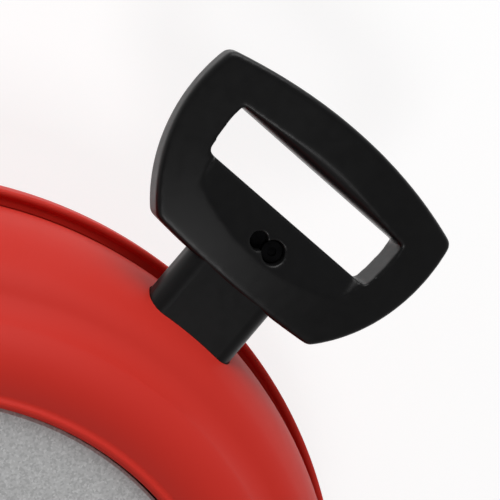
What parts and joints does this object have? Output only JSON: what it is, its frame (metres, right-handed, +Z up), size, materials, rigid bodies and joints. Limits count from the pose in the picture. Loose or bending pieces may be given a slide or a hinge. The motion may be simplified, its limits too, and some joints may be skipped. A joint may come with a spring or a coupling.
{
  "type": "curling stone",
  "caption": "Curling stone with a granite core in two red moulded shells on a granite running ring, with a black D-grip on a neck at its side.",
  "frame": {"origin": "where the stone's vertical axis meets the ice, at the level of the running ring's lowest face", "axes": "+Z up along the stone's axis, +X from the stone towards the grip; the stone is symmetric about the XZ plane"},
  "size_m": [0.357, 0.2912, 0.118],
  "materials": {
    "red_shell": "smooth moulded red, semi-gloss",
    "granite": "honed grey granite, fine speckle",
    "ring_granite": "fine-ground dark granite",
    "rubber": "moulded rubber",
    "steel": "stainless",
    "brass": "turned brass",
    "handle_plastic": "fine-grained black glass-filled nylon",
    "cap_plastic": "black moulded plastic",
    "sleeve_plastic": "natural nylon"
  },
  "bodies": {
    "root": {"top_shell": "red_shell", "lower_shell": "red_shell", "shell_screws": "steel", "rim_gasket": "rubber", "running_ring": "ring_granite", "granite_core": "granite", "upper_pad": "rubber", "lower_pad": "rubber", "centre_pad": "rubber", "centre_bolt": "steel", "bolt_sleeve": "sleeve_plastic", "bottom_washer": "steel", "top_washer": "steel", "top_nut": "steel", "centre_cap": "cap_plastic", "handle_bracket": "steel", "granite_anchors": "brass", "bracket_bolts": "steel", "tang": "steel", "neck": "handle_plastic", "neck_pins": "steel", "grip": "handle_plastic", "grip_screw": "steel", "grip_insert": "brass"}
  },
  "joints": []
}
